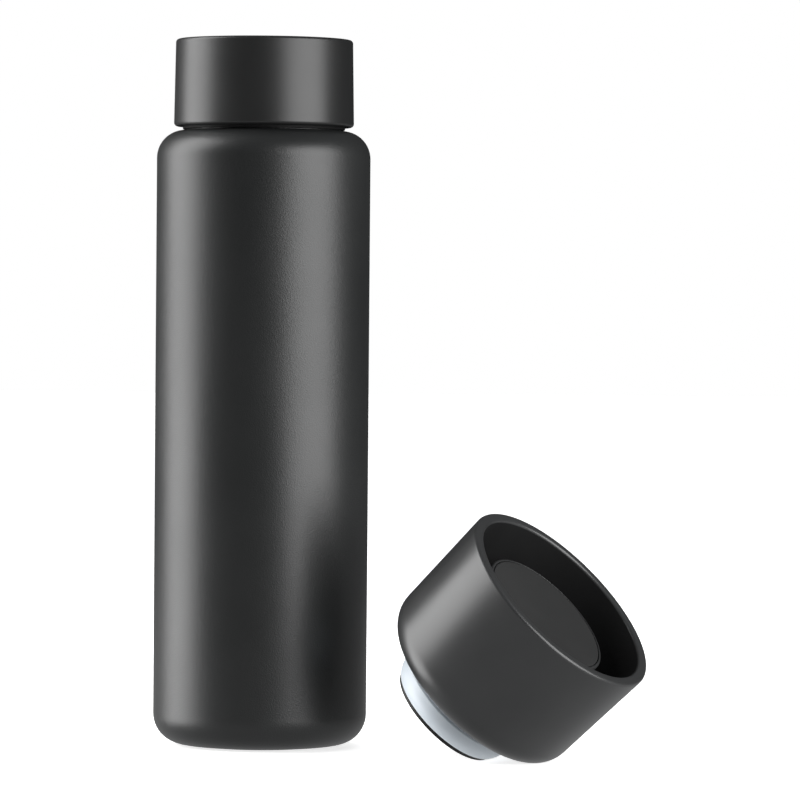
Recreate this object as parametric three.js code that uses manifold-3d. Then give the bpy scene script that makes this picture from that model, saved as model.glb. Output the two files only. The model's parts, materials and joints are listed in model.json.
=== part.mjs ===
// Vacuum flask with a screw cap on its neck and a loose push-button drinking lid beside it.
// Millimetres, +Z up. The origin is the centre of the flask's base, on the table.
import * as THREE from 'three';
import { mergeVertices } from 'three/addons/utils/BufferGeometryUtils.js';
import Module from 'manifold-3d';

const wasm = await Module();
wasm.setup();

// Shared
const GAP = 0.3; // clearance between pieces that touch
const SHEET = 0.5; // steel sheet of both walls
const BIG_SIDES = 28; // sides of the large round pieces
const SMALL_SIDES = 20; // sides of the small round pieces
const TINY_SIDES = 16;
const WIRE_SIDES = 6;
const ARC_STEP = 22.5; // largest step along a round stretch, degrees

// Flask
const BODY_R = 35;
const FOOT_Z = 0.5; // the shell's foot, above the base pad's underside
const FOOT_CORNER_R = 10;
const FOOT_INNER_R = 22.3;
const SHOULDER_R = 9.1;
const SHOULDER_TOP_Z = 201.6;
const NECK_SHELL_R = 25.4;
const LIP_Z = 216.5;
const BORE_R = 22.9;
const LINER_R = 31;
const LINER_BOTTOM_Z = 9;
const LINER_CORNER_R = 10;
const LINER_SPLIT_Z = 20;
const LINER_SHOULDER_Z = 182;
const LINER_SHOULDER_R = 6.5;
const LIP_THICK = 0.7; // where the two walls are welded together
const LIP_EDGE = 0.4;
const BASE_PLATE_Z = 1.9;
const BASE_RIM_Z = 0.9;
const PORT_R = 1.6;
const PORT_PLUG_HEIGHT = 0.8;
const GETTER_R = 3.5;
const GETTER_HEIGHT = 1.6;
const GETTER_X = 12;
const PAD_CHAMFER = 0.4;
const SHIELD_THICK = 0.3;
const SHIELD_INSET = 2;

// Neck thread, two starts
const THREAD_STARTS = 2;
const THREAD_LEAD = 8;
const RIDGE_R = 0.75;
const COLLAR_R = 26.6;
const COLLAR_BELOW_LIP = 1.2;
const RIDGE_SINK = 0.05; // the ridge's own axis, above the face that it stands on
const RIDGE_STEPS = 20; // per turn
const NECK_RIDGE_Z = 205;
const NECK_RIDGE_TURNS = 1;
const CAP_RIDGE_TURNS = 0.75;

// Screw cap
const CAP_BOTTOM_Z = 202.8;
const CAP_TOP_Z = 231.4;
const CAP_BOTTOM_R = 29.5;
const CAP_TOP_R = 29;
const CAP_BORE_R = 27.9;
const CAP_CEILING_Z = 229.2;
const CAP_TOP_FILLET = 1.2;
const CAP_BOTTOM_FILLET = 1.4;
const CORE_BOTTOM_Z = 203.6;
const CORE_R = 22.2;
const CORE_WALL = 1.2;
const CORE_SEAT_Z = 217.2;
const CORE_FLANGE_R = 27.5;
const GROOVE_R = 20.9;
const GROOVE_Z = 204.6;
const GROOVE_HEIGHT = 4;
const GASKET_EDGE = 0.5;

// Drinking lid, in its own frame: z = 0 is the plane of its open end, the rim is at the top
const RIM_R = 36.3;
const RIM_Z = 44.9;
const LID_BASE_R = 35.2;
const LID_BASE_FILLET = 9.1;
const LID_WALL = 2.6;
const RIM_FILLET = 1.1;
const LIP_FILLET = 1;
const BOWL_R = 32.6;
const LID_BORE_R = 28.1;
const MOUTH_LAP = 0.2;
const LID_SKIRT_R = 29.9;
const LID_SKIRT_Z = 5.8;
const LID_RIDGE_Z = 6.9;
const POCKET_TOP_Z = 15.3;
const BOWL_FLOOR_Z = 23.2;
const BOWL_FLOOR_THICK = 2.5;
const THROAT_R = 19.3;
const THROAT_Z = 21.8;

// Plug, seal and valve of the drinking lid
const PLUG_R = 19;
const PLUG_BORE_R = 16.8;
const PLUG_COLLAR_R = 22;
const PLUG_BOTTOM_Z = -8.6;
const RIB_WIDTH = 2.4;
const RIB_Z = 8;
const RIB_TOP_Z = 16;
const HUB_R = 5.2;
const HUB_BORE_R = 2.85;
const SEAL_R = 22;
const SEAL_END_R = 7.5; // rounding of the seal's end
const SEAL_BEND_Z = -5.2; // where the rounding starts
const SEAL_BAND_R = 21.4; // the narrower band between the step and the lid
const SEAL_STEP_Z = -2.9;
const VALVE_R = 19.6;
const VALVE_BOTTOM_Z = -11.45;
const VALVE_THICK = 1.3;
const VALVE_EDGE = 0.3;
const VALVE_HUB_R = 5;
const VALVE_HUB_TOP_Z = -7.5;
const VALVE_SCREW_HOLE_R = 1.6;
const VALVE_SEAL_INNER_R = 15.8;
const VALVE_SEAL_R = 18.9;
const STEM_R = 2.5;
const STEM_TOP_Z = 34;
const STEM_SOCKET_R = 2.9; // hole in the button and in the valve plate that the stem enters
const STEM_BORE_TOP_Z = -3;
const SCREW_R = 1.2;
const SCREW_TIP_Z = -4;
const SCREW_HEAD_R = 3;
const SCREW_HEAD_HEIGHT = 0.8;

// Button, spring and latch of the drinking lid
const BUTTON_R = 23.3;
const BUTTON_TOP_Z = 37.4;
const BUTTON_BOTTOM_Z = 34.4;
const BUTTON_EDGE_R = 0.8;
const BUTTON_HUB_R = 4.5;
const BUTTON_HUB_DEPTH = 4;
const PAD_R = 22;
const PAD_THICK = 0.9;
const PAD_EDGE = 0.3;
const SPRING_R = 9.5;
const SPRING_WIRE_R = 0.6;
const SPRING_TURNS = 5.5;
const SPRING_STEPS = 12; // per turn
const SPRING_SEAT_R = 10.8;
const SPRING_SEAT_WALL = 1.2;
const SPRING_SEAT_DEPTH = 3;
const SLEEVE_BORE_R = 5.9;
const SLEEVE_R = 7.4;
const SLEEVE_TOP_Z = 26;
const ROTOR_R = 4.2;
const ROTOR_Z = 20;
const ROTOR_HEIGHT = 2.5;
const LUG_SPAN = 11;
const LUG_WIDTH = 1.6;
const LUG_HEIGHT = 1.5;
const ROTOR_BORE_R = 2.9;
const WINDOW_WIDTH = 3;
const WINDOW_HEIGHT = 2;
const WINDOW_RAISED = 2; // above the ribs

// Where the loose lid lies on the table
const LID_X = 68.2;
const LID_Y = -45.8;
const LID_HEADING = -27.8; // degrees about +Z that its open bowl faces

// Both the shell's round edge and the valve plate's edge rest on the table at this lean
const REST_SPAN_R = LID_BASE_R - LID_BASE_FILLET - VALVE_R;
const REST_SPAN_Z = LID_BASE_FILLET - VALVE_BOTTOM_Z - VALVE_EDGE;
const LID_LEAN = THREE.MathUtils.radToDeg(
  Math.acos(LID_BASE_FILLET / Math.hypot(REST_SPAN_R, REST_SPAN_Z))
    - Math.atan2(REST_SPAN_R, REST_SPAN_Z),
);
const REST_ANGLE = LID_LEAN - 90; // the resting point's place on the shell's round edge

const FINISHES = {
  powder_coat: { color: 0x2a2d2e, roughness: 0.5, metalness: 0.3 },
  steel: { color: 0xb9babb, roughness: 0.3, metalness: 1 },
  copper: { color: 0xb87a55, roughness: 0.3, metalness: 1 },
  black_plastic: { color: 0x242626, roughness: 0.45, metalness: 0 },
  dark_plastic: { color: 0x1b1c1c, roughness: 0.6, metalness: 0 },
  grey_pad: { color: 0x4a4c4d, roughness: 0.7, metalness: 0 },
  silicone: { color: 0xdfe4e8, roughness: 0.5, metalness: 0 },
  black_rubber: { color: 0x1d1e1e, roughness: 0.8, metalness: 0 },
  foam: { color: 0xe6e3da, roughness: 0.9, metalness: 0 },
};

const point = (r, z) => new THREE.Vector2(r, z);

// Points on a round stretch of an outline that passes through each of the given angles.
function arc(r, z, radius, ...stops) {
  const at = (degrees) => {
    const angle = THREE.MathUtils.degToRad(degrees);
    return point(r + radius * Math.cos(angle), z + radius * Math.sin(angle));
  };
  const points = [at(stops[0])];
  for (let i = 1; i < stops.length; i += 1) {
    const sweep = stops[i] - stops[i - 1];
    const steps = Math.ceil(Math.abs(sweep) / ARC_STEP);
    for (let step = 1; step <= steps; step += 1) points.push(at(stops[i - 1] + sweep * step / steps));
  }
  return points;
}

// Solid of revolution about Z. The outline runs anticlockwise and starts on the axis, or closes.
function revolve(outline, sides = BIG_SIDES) {
  const closed = outline[0].x > 0 ? [...outline, outline[0].clone()] : outline;
  return new THREE.LatheGeometry(closed, sides).rotateX(Math.PI / 2);
}

function ring(innerR, outerR, fromZ, toZ, sides) {
  const outline = [point(innerR, fromZ), point(outerR, fromZ), point(outerR, toZ), point(innerR, toZ)];
  return revolve(outline, sides);
}

function rod(radius, fromZ, toZ, sides = SMALL_SIDES) {
  return revolve([point(0, fromZ), point(radius, fromZ), point(radius, toZ), point(0, toZ)], sides);
}

function block(sizeX, sizeY, fromZ, toZ) {
  return new THREE.BoxGeometry(sizeX, sizeY, toZ - fromZ).translate(0, 0, (fromZ + toZ) / 2);
}

class Helix extends THREE.Curve {
  constructor(radius, lead, turns, startAngle, startZ) {
    super();
    Object.assign(this, { radius, lead, turns, startAngle, startZ });
  }

  getPoint(t, target = new THREE.Vector3()) {
    const angle = this.startAngle + t * this.turns * 2 * Math.PI;
    const z = this.startZ + t * this.turns * this.lead;
    return target.set(this.radius * Math.cos(angle), this.radius * Math.sin(angle), z);
  }
}

// Wire along a helix.
function wire(helix, wireR, stepsPerTurn) {
  const section = new THREE.Shape(Array.from({ length: WIRE_SIDES }, (_, i) => {
    const angle = i * 2 * Math.PI / WIRE_SIDES;
    return point(wireR * Math.cos(angle), wireR * Math.sin(angle));
  }));
  const steps = Math.round(helix.turns * stepsPerTurn);
  return new THREE.ExtrudeGeometry(section, { steps, extrudePath: helix, bevelEnabled: false });
}

function threadRidges(axisR, startZ, turns) {
  return Array.from({ length: THREAD_STARTS }, (_, start) => {
    const startAngle = start * 2 * Math.PI / THREAD_STARTS;
    return wire(new Helix(axisR, THREAD_LEAD, turns, startAngle, startZ), RIDGE_R, RIDGE_STEPS);
  });
}

function toSolid(geometry) {
  const bare = geometry.clone();
  bare.deleteAttribute('normal');
  bare.deleteAttribute('uv');
  const merged = mergeVertices(bare);
  const index = merged.index.array;
  const corners = [];
  for (let i = 0; i < index.length; i += 3) {
    const [a, b, c] = index.slice(i, i + 3);
    if (a !== b && b !== c && c !== a) corners.push(a, b, c);
  }
  const vertProperties = merged.attributes.position.array;
  return new wasm.Manifold(new wasm.Mesh({ numProp: 3, vertProperties, triVerts: new Uint32Array(corners) }));
}

function toGeometry(solid) {
  const { vertProperties, triVerts } = solid.getMesh();
  const geometry = new THREE.BufferGeometry();
  geometry.setAttribute('position', new THREE.BufferAttribute(vertProperties, 3));
  geometry.setIndex(new THREE.BufferAttribute(triVerts, 1));
  geometry.computeVertexNormals();
  return geometry;
}

function join(first, ...others) {
  return toGeometry(others.reduce((solid, other) => solid.add(toSolid(other)), toSolid(first)));
}

function cut(first, ...others) {
  return toGeometry(others.reduce((solid, other) => solid.subtract(toSolid(other)), toSolid(first)));
}

function piece(name, geometry, finish) {
  const mesh = new THREE.Mesh(geometry, new THREE.MeshStandardMaterial(FINISHES[finish]));
  mesh.name = name;
  return mesh;
}

// Flask ------------------------------------------------------------------------------------------

function outerShell() {
  const innerR = BODY_R - SHEET;
  const footArcR = BODY_R - FOOT_CORNER_R;
  const footArcZ = FOOT_Z + FOOT_CORNER_R;
  const shoulderArcR = BODY_R - SHOULDER_R;
  const shoulderArcZ = SHOULDER_TOP_Z - SHOULDER_R;
  const neckTopZ = LIP_Z - LIP_THICK - GAP;
  const neckInnerR = NECK_SHELL_R - SHEET;
  const neckFillet = shoulderArcR - neckInnerR;
  return revolve([
    point(FOOT_INNER_R, FOOT_Z),
    ...arc(footArcR, footArcZ, FOOT_CORNER_R, -90, 0),
    ...arc(shoulderArcR, shoulderArcZ, SHOULDER_R, 0, 90),
    point(NECK_SHELL_R, SHOULDER_TOP_Z),
    point(NECK_SHELL_R, neckTopZ),
    point(neckInnerR, neckTopZ),
    ...arc(shoulderArcR, SHOULDER_TOP_Z - SHEET + neckFillet, neckFillet, 180, 270),
    ...arc(shoulderArcR, shoulderArcZ, SHOULDER_R - SHEET, 90 - ARC_STEP, 0),
    point(innerR, footArcZ),
    ...arc(footArcR, footArcZ, FOOT_CORNER_R - SHEET, -ARC_STEP, -90),
    point(FOOT_INNER_R, FOOT_Z + SHEET),
  ]);
}

function outerBase() {
  const rimR = FOOT_INNER_R - GAP;
  return revolve([
    point(PORT_R, BASE_PLATE_Z),
    point(rimR - SHEET, BASE_PLATE_Z),
    point(rimR - SHEET, BASE_RIM_Z),
    point(rimR, BASE_RIM_Z),
    point(rimR, BASE_PLATE_Z + SHEET),
    point(PORT_R, BASE_PLATE_Z + SHEET),
  ]);
}

function basePad() {
  const padR = FOOT_INNER_R - 2 * GAP - SHEET;
  return revolve([
    point(0, 0),
    point(padR - PAD_CHAMFER, 0),
    point(padR, PAD_CHAMFER),
    point(padR, BASE_PLATE_Z - GAP),
    point(0, BASE_PLATE_Z - GAP),
  ]);
}

function portPlug() {
  return rod(PORT_R - GAP, BASE_PLATE_Z, BASE_PLATE_Z + PORT_PLUG_HEIGHT, TINY_SIDES);
}

function getterCapsule() {
  const bottomZ = BASE_PLATE_Z + SHEET + GAP;
  return rod(GETTER_R, bottomZ, bottomZ + GETTER_HEIGHT, TINY_SIDES).translate(GETTER_X, 0, 0);
}

function innerLiner() {
  const innerR = LINER_R - SHEET;
  const neckR = BORE_R + SHEET;
  const shoulderArcR = LINER_R - LINER_SHOULDER_R;
  const fillet = shoulderArcR - neckR;
  const neckStartZ = LINER_SHOULDER_Z + LINER_SHOULDER_R + fillet;
  return revolve([
    point(innerR, LINER_SPLIT_Z + GAP),
    point(LINER_R, LINER_SPLIT_Z + GAP),
    ...arc(shoulderArcR, LINER_SHOULDER_Z, LINER_SHOULDER_R, 0, 90),
    ...arc(shoulderArcR, neckStartZ, fillet, 270 - ARC_STEP, 180),
    point(neckR, LIP_Z - LIP_THICK),
    point(NECK_SHELL_R, LIP_Z - LIP_THICK),
    point(NECK_SHELL_R, LIP_Z),
    point(BORE_R + LIP_EDGE, LIP_Z),
    point(BORE_R, LIP_Z - LIP_EDGE),
    ...arc(shoulderArcR, neckStartZ, fillet + SHEET, 180, 270),
    ...arc(shoulderArcR, LINER_SHOULDER_Z, LINER_SHOULDER_R - SHEET, 90 - ARC_STEP, 0),
  ]);
}

function linerBottom() {
  const cornerArcR = LINER_R - LINER_CORNER_R;
  const cornerArcZ = LINER_BOTTOM_Z + LINER_CORNER_R;
  return revolve([
    point(0, LINER_BOTTOM_Z),
    ...arc(cornerArcR, cornerArcZ, LINER_CORNER_R, -90, 0),
    point(LINER_R, LINER_SPLIT_Z),
    point(LINER_R - SHEET, LINER_SPLIT_Z),
    ...arc(cornerArcR, cornerArcZ, LINER_CORNER_R - SHEET, 0, -90),
    point(0, LINER_BOTTOM_Z + SHEET),
  ]);
}

function radiationShield() {
  const innerR = LINER_R + GAP;
  return ring(innerR, innerR + SHIELD_THICK, LINER_SPLIT_Z + SHIELD_INSET, LINER_SHOULDER_Z - SHIELD_INSET);
}

function neckCollar() {
  const bottomZ = SHOULDER_TOP_Z + GAP;
  const topZ = LIP_Z - COLLAR_BELOW_LIP;
  const sleeve = ring(NECK_SHELL_R + GAP, COLLAR_R, bottomZ, topZ);
  return join(sleeve, ...threadRidges(COLLAR_R + RIDGE_SINK, NECK_RIDGE_Z, NECK_RIDGE_TURNS));
}

// Screw cap --------------------------------------------------------------------------------------

function capShell() {
  const bottomArcR = CAP_BOTTOM_R - CAP_BOTTOM_FILLET;
  const topArcR = CAP_TOP_R - CAP_TOP_FILLET;
  const cup = revolve([
    point(0, CAP_CEILING_Z),
    point(CAP_BORE_R, CAP_CEILING_Z),
    point(CAP_BORE_R, CAP_BOTTOM_Z),
    ...arc(bottomArcR, CAP_BOTTOM_Z + CAP_BOTTOM_FILLET, CAP_BOTTOM_FILLET, -90, 0),
    ...arc(topArcR, CAP_TOP_Z - CAP_TOP_FILLET, CAP_TOP_FILLET, 0, 90),
    point(0, CAP_TOP_Z),
  ]);
  const ridgeAxisR = CAP_BORE_R - RIDGE_SINK;
  const ridgeZ = NECK_RIDGE_Z + THREAD_LEAD / THREAD_STARTS / 2;
  return join(cup, ...threadRidges(ridgeAxisR, ridgeZ, CAP_RIDGE_TURNS));
}

function capCore() {
  const grooveTopZ = GROOVE_Z + GROOVE_HEIGHT;
  const boreR = GROOVE_R - CORE_WALL;
  const topZ = CAP_CEILING_Z - 2 * GAP;
  return revolve([
    point(0, CORE_BOTTOM_Z),
    point(CORE_R, CORE_BOTTOM_Z),
    point(CORE_R, GROOVE_Z),
    point(GROOVE_R, GROOVE_Z),
    point(GROOVE_R, grooveTopZ),
    point(CORE_R, grooveTopZ),
    point(CORE_R, CORE_SEAT_Z),
    point(CORE_FLANGE_R, CORE_SEAT_Z),
    point(CORE_FLANGE_R, topZ),
    point(CORE_FLANGE_R - CORE_WALL, topZ),
    point(CORE_FLANGE_R - CORE_WALL, CORE_SEAT_Z + CORE_WALL),
    point(boreR, CORE_SEAT_Z + CORE_WALL),
    point(boreR, CORE_BOTTOM_Z + CORE_WALL),
    point(0, CORE_BOTTOM_Z + CORE_WALL),
  ]);
}

function capFoam() {
  const lowerR = GROOVE_R - CORE_WALL - GAP;
  const upperR = CORE_FLANGE_R - CORE_WALL - GAP;
  const stepZ = CORE_SEAT_Z + CORE_WALL + GAP;
  const bottomZ = CORE_BOTTOM_Z + CORE_WALL + GAP;
  const topZ = CAP_CEILING_Z - 2 * GAP;
  return revolve([
    point(0, bottomZ),
    point(lowerR, bottomZ),
    point(lowerR, stepZ),
    point(upperR, stepZ),
    point(upperR, topZ),
    point(0, topZ),
  ], SMALL_SIDES);
}

function capGasket() {
  const innerR = GROOVE_R + GAP;
  const lipR = BORE_R - GAP;
  const bottomZ = GROOVE_Z + GAP;
  const topZ = GROOVE_Z + GROOVE_HEIGHT - GAP;
  const edge = GASKET_EDGE;
  return revolve([
    point(innerR, bottomZ),
    point(lipR - edge, bottomZ),
    point(lipR, bottomZ + edge),
    point(lipR, bottomZ + 2 * edge),
    point(lipR - edge, (bottomZ + topZ) / 2),
    point(lipR, topZ - 2 * edge),
    point(lipR, topZ - edge),
    point(lipR - edge, topZ),
    point(innerR, topZ),
  ]);
}

// Drinking lid -----------------------------------------------------------------------------------

function lidShell() {
  const filletR = LID_BASE_R - LID_BASE_FILLET;
  const mouthR = LID_BORE_R - MOUTH_LAP;
  const innerFillet = LID_BASE_FILLET - LID_WALL;
  const edgeAngle = (radius) => -THREE.MathUtils.radToDeg(Math.acos((mouthR - filletR) / radius));
  const rimArcR = RIM_R - RIM_FILLET;
  const lipArcR = BOWL_R + LIP_FILLET;
  return revolve([
    ...arc(filletR, LID_BASE_FILLET, LID_BASE_FILLET, edgeAngle(LID_BASE_FILLET), REST_ANGLE, 0),
    ...arc(rimArcR, RIM_Z - RIM_FILLET, RIM_FILLET, 0, 90),
    ...arc(lipArcR, RIM_Z - LIP_FILLET, LIP_FILLET, 90, 180),
    ...arc(filletR, LID_BASE_FILLET, innerFillet, 0, edgeAngle(innerFillet)),
  ]);
}

function lidInsert() {
  const rimR = BOWL_R - GAP;
  const floorEdgeZ = BOWL_FLOOR_Z - BOWL_FLOOR_THICK;
  const skirt = revolve([
    point(LID_BORE_R, LID_SKIRT_Z),
    point(LID_SKIRT_R, LID_SKIRT_Z),
    point(LID_SKIRT_R, floorEdgeZ),
    point(rimR, floorEdgeZ),
    point(rimR, BOWL_FLOOR_Z),
    point(THROAT_R, THROAT_Z),
    point(THROAT_R, POCKET_TOP_Z),
    point(LID_BORE_R, POCKET_TOP_Z),
  ]);
  return join(skirt, ...threadRidges(LID_BORE_R - RIDGE_SINK, LID_RIDGE_Z, CAP_RIDGE_TURNS));
}

function plugBody() {
  const collarTopZ = POCKET_TOP_Z - GAP;
  const tube = revolve([
    point(PLUG_BORE_R, PLUG_BOTTOM_Z),
    point(PLUG_R, PLUG_BOTTOM_Z),
    point(PLUG_R, 0),
    point(PLUG_COLLAR_R, 0),
    point(PLUG_COLLAR_R, collarTopZ),
    point(PLUG_R, collarTopZ),
    point(PLUG_R, THROAT_Z - GAP),
    point(PLUG_BORE_R, THROAT_Z - GAP),
  ]);
  const ribSpan = PLUG_BORE_R + PLUG_R;
  const ribX = block(ribSpan, RIB_WIDTH, RIB_Z, RIB_TOP_Z);
  const ribY = block(RIB_WIDTH, ribSpan, RIB_Z, RIB_TOP_Z);
  const hub = rod(HUB_R, RIB_Z, RIB_TOP_Z);
  const hole = rod(HUB_BORE_R, RIB_Z - GAP, RIB_TOP_Z + GAP, TINY_SIDES);
  return cut(join(tube, ribX, ribY, hub), hole);
}

function mainSeal() {
  const innerR = PLUG_R + GAP;
  const endZ = VALVE_BOTTOM_Z + VALVE_THICK + GAP;
  const endAngle = THREE.MathUtils.radToDeg(Math.asin((endZ - SEAL_BEND_Z) / SEAL_END_R));
  return revolve([
    point(innerR, endZ),
    ...arc(SEAL_R - SEAL_END_R, SEAL_BEND_Z, SEAL_END_R, endAngle, 0),
    point(SEAL_R, SEAL_STEP_Z - SEAL_R + SEAL_BAND_R),
    point(SEAL_BAND_R, SEAL_STEP_Z),
    point(SEAL_BAND_R, -GAP),
    point(innerR, -GAP),
  ]);
}

function latchSleeve() {
  const windowZ = RIB_TOP_Z + WINDOW_RAISED;
  const windowTopZ = windowZ + WINDOW_HEIGHT;
  const span = 2 * (SLEEVE_R + GAP);
  const sleeve = ring(SLEEVE_BORE_R, SLEEVE_R, RIB_TOP_Z + GAP, SLEEVE_TOP_Z, SMALL_SIDES);
  const windowX = block(span, WINDOW_WIDTH, windowZ, windowTopZ);
  const windowY = block(WINDOW_WIDTH, span, windowZ, windowTopZ);
  return cut(sleeve, windowX, windowY);
}

function latchRotor() {
  const topZ = ROTOR_Z + ROTOR_HEIGHT;
  const lugTopZ = ROTOR_Z + LUG_HEIGHT;
  const hub = rod(ROTOR_R, ROTOR_Z, topZ, TINY_SIDES);
  const lugX = block(LUG_SPAN, LUG_WIDTH, ROTOR_Z, lugTopZ);
  const lugY = block(LUG_WIDTH, LUG_SPAN, ROTOR_Z, lugTopZ);
  const hole = rod(ROTOR_BORE_R, ROTOR_Z - GAP, topZ + GAP, TINY_SIDES);
  return cut(join(hub, lugX, lugY), hole);
}

function returnSpring() {
  const bottomZ = RIB_TOP_Z + GAP + SPRING_WIRE_R;
  const topZ = BUTTON_BOTTOM_Z - GAP - SPRING_WIRE_R;
  const lead = (topZ - bottomZ) / SPRING_TURNS;
  return wire(new Helix(SPRING_R, lead, SPRING_TURNS, 0, bottomZ), SPRING_WIRE_R, SPRING_STEPS);
}

function buttonCap() {
  const hubBottomZ = BUTTON_BOTTOM_Z - BUTTON_HUB_DEPTH;
  const seatZ = BUTTON_BOTTOM_Z - SPRING_SEAT_DEPTH;
  const recessZ = BUTTON_TOP_Z - PAD_THICK - GAP;
  const padRecessR = PAD_R + GAP;
  return revolve([
    point(0, STEM_TOP_Z + GAP),
    point(STEM_SOCKET_R, STEM_TOP_Z + GAP),
    point(STEM_SOCKET_R, hubBottomZ),
    point(BUTTON_HUB_R, hubBottomZ),
    point(BUTTON_HUB_R, BUTTON_BOTTOM_Z),
    point(SPRING_SEAT_R, BUTTON_BOTTOM_Z),
    point(SPRING_SEAT_R, seatZ),
    point(SPRING_SEAT_R + SPRING_SEAT_WALL, seatZ),
    point(SPRING_SEAT_R + SPRING_SEAT_WALL, BUTTON_BOTTOM_Z),
    point(BUTTON_R - BUTTON_EDGE_R, BUTTON_BOTTOM_Z),
    point(BUTTON_R, BUTTON_BOTTOM_Z + BUTTON_EDGE_R),
    ...arc(BUTTON_R - BUTTON_EDGE_R, BUTTON_TOP_Z - BUTTON_EDGE_R, BUTTON_EDGE_R, 0, 90),
    point(padRecessR, BUTTON_TOP_Z),
    point(padRecessR, recessZ),
    point(0, recessZ),
  ]);
}

function buttonPad() {
  return revolve([
    point(0, BUTTON_TOP_Z - PAD_THICK),
    point(PAD_R, BUTTON_TOP_Z - PAD_THICK),
    point(PAD_R, BUTTON_TOP_Z - PAD_EDGE),
    point(PAD_R - PAD_EDGE, BUTTON_TOP_Z),
    point(0, BUTTON_TOP_Z),
  ]);
}

function stem() {
  const boreR = SCREW_R + GAP;
  const bottomZ = VALVE_BOTTOM_Z + VALVE_THICK + GAP;
  return revolve([
    point(0, STEM_BORE_TOP_Z),
    point(boreR, STEM_BORE_TOP_Z),
    point(boreR, bottomZ),
    point(STEM_R, bottomZ),
    point(STEM_R, STEM_TOP_Z),
    point(0, STEM_TOP_Z),
  ], TINY_SIDES);
}

function valvePlate() {
  const topZ = VALVE_BOTTOM_Z + VALVE_THICK;
  return revolve([
    point(VALVE_SCREW_HOLE_R, VALVE_BOTTOM_Z),
    point(VALVE_R - VALVE_EDGE, VALVE_BOTTOM_Z),
    point(VALVE_R, VALVE_BOTTOM_Z + VALVE_EDGE),
    point(VALVE_R, topZ),
    point(VALVE_HUB_R, topZ),
    point(VALVE_HUB_R, VALVE_HUB_TOP_Z),
    point(STEM_SOCKET_R, VALVE_HUB_TOP_Z),
    point(STEM_SOCKET_R, topZ),
    point(VALVE_SCREW_HOLE_R, topZ),
  ]);
}

function valveSeal() {
  const bottomZ = VALVE_BOTTOM_Z + VALVE_THICK + GAP;
  return ring(VALVE_SEAL_INNER_R, VALVE_SEAL_R, bottomZ, PLUG_BOTTOM_Z - GAP, BIG_SIDES);
}

function valveScrew() {
  const headTopZ = VALVE_BOTTOM_Z - GAP;
  const headZ = headTopZ - SCREW_HEAD_HEIGHT;
  return revolve([
    point(0, headZ),
    point(SCREW_HEAD_R, headZ),
    point(SCREW_HEAD_R, headTopZ),
    point(SCREW_R, headTopZ),
    point(SCREW_R, SCREW_TIP_Z),
    point(0, SCREW_TIP_Z),
  ], TINY_SIDES);
}

// Height of the lid's origin that puts its lowest edge on the table.
function lidHeight() {
  const lean = THREE.MathUtils.degToRad(LID_LEAN);
  const filletR = LID_BASE_R - LID_BASE_FILLET;
  return filletR * Math.sin(lean) - LID_BASE_FILLET * Math.cos(lean) + LID_BASE_FILLET;
}

const flask = new THREE.Group();
flask.add(
  piece('outer_shell', outerShell(), 'powder_coat'),
  piece('outer_base', outerBase(), 'steel'),
  piece('base_pad', basePad(), 'black_rubber'),
  piece('vacuum_port_plug', portPlug(), 'steel'),
  piece('getter_capsule', getterCapsule(), 'steel'),
  piece('inner_liner', innerLiner(), 'steel'),
  piece('liner_bottom', linerBottom(), 'steel'),
  piece('radiation_shield', radiationShield(), 'copper'),
  piece('neck_collar', neckCollar(), 'black_plastic'),
);

const screwCap = new THREE.Group();
screwCap.add(
  piece('cap_shell', capShell(), 'black_plastic'),
  piece('cap_core', capCore(), 'dark_plastic'),
  piece('cap_foam', capFoam(), 'foam'),
  piece('cap_gasket', capGasket(), 'silicone'),
);

const drinkingLid = new THREE.Group();
drinkingLid.add(
  piece('lid_shell', lidShell(), 'black_plastic'),
  piece('lid_insert', lidInsert(), 'dark_plastic'),
  piece('plug_body', plugBody(), 'dark_plastic'),
  piece('main_seal', mainSeal(), 'silicone'),
  piece('latch_sleeve', latchSleeve(), 'dark_plastic'),
  piece('latch_rotor', latchRotor(), 'dark_plastic'),
  piece('return_spring', returnSpring(), 'steel'),
  piece('button_cap', buttonCap(), 'dark_plastic'),
  piece('button_pad', buttonPad(), 'grey_pad'),
  piece('stem', stem(), 'steel'),
  piece('valve_plate', valvePlate(), 'dark_plastic'),
  piece('valve_seal', valveSeal(), 'black_rubber'),
  piece('valve_screw', valveScrew(), 'steel'),
);
drinkingLid.position.set(LID_X, LID_Y, lidHeight());
drinkingLid.rotation.set(
  0,
  THREE.MathUtils.degToRad(LID_LEAN),
  THREE.MathUtils.degToRad(LID_HEADING),
  'ZYX',
);

const group = new THREE.Group();
group.add(flask, screwCap, drinkingLid);

export default group;
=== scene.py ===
import json
import math

import bpy
from mathutils import Matrix, Vector

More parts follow.
